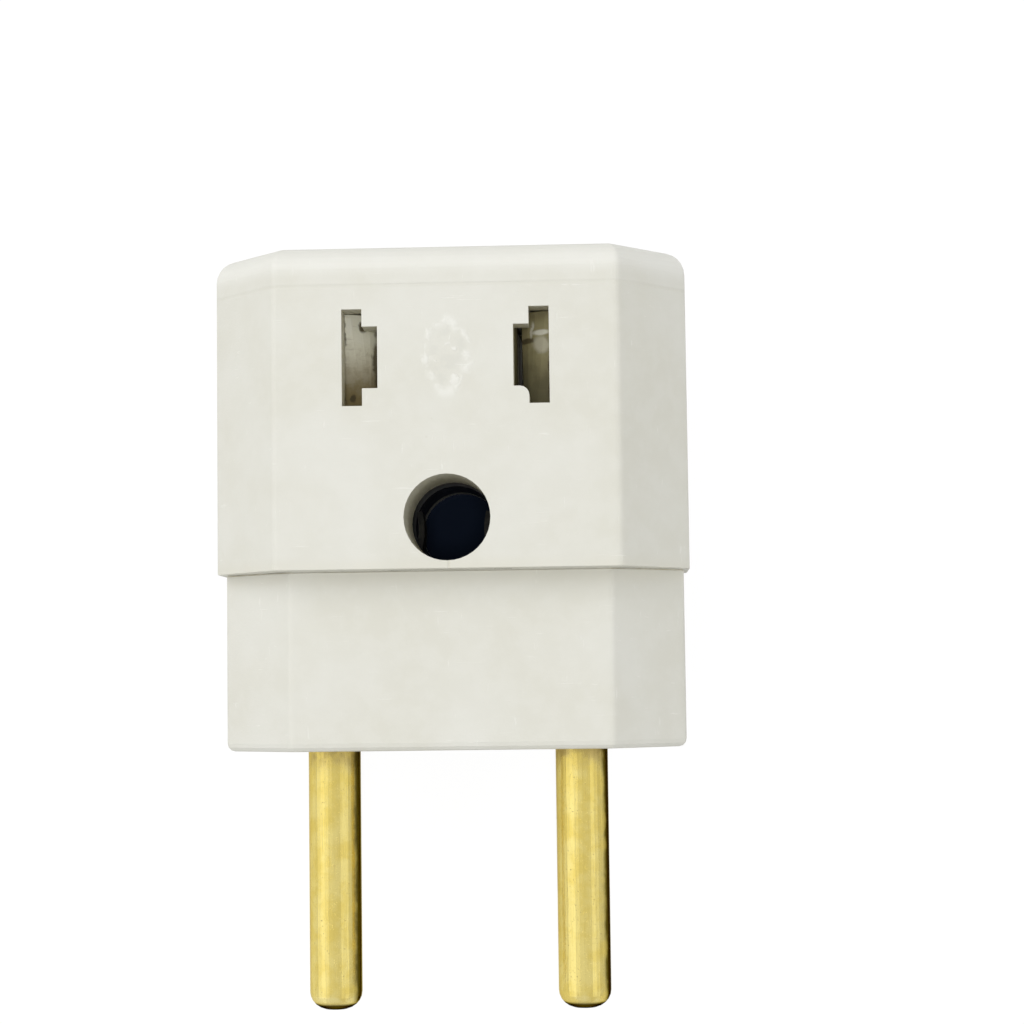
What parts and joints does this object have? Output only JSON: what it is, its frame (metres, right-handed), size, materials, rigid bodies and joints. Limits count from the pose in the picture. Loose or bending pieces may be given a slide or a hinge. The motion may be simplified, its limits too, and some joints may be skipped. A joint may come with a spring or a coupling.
{
  "type": "multi-socket adapter",
  "caption": "Plug adapter with round pins, a narrow base and a chamfered outlet hood whose front and back faces each take a flat-blade or grounded plug",
  "frame": {"origin": "middle of the footprint, on the surface that the back outlet face lies on", "axes": "+Z out of the front outlet face, -Y the way the round pins point, +X to the right seen from the front"},
  "size_m": [0.0358, 0.0572, 0.019],
  "materials": {
    "ivory_plastic": "satin",
    "carrier_plastic": "matte",
    "brass": "satin",
    "spring_bronze": "satin",
    "zinc_steel": "satin"
  },
  "bodies": {
    "root": {"outlet_hood": "ivory_plastic", "plug_base": "ivory_plastic", "contact_carrier": "carrier_plastic", "line_pin_left": "brass", "line_pin_right": "brass", "busbar_left": "brass", "busbar_right": "brass", "front_rivet_left": "brass", "front_rivet_right": "brass", "back_rivet_left": "brass", "back_rivet_right": "brass", "front_contact_left": "spring_bronze", "front_contact_right": "spring_bronze", "back_contact_left": "spring_bronze", "back_contact_right": "spring_bronze", "earth_clip": "spring_bronze", "earth_screw": "zinc_steel", "earth_nut": "zinc_steel", "pin_washer_left": "zinc_steel", "pin_washer_right": "zinc_steel"}
  },
  "joints": []
}
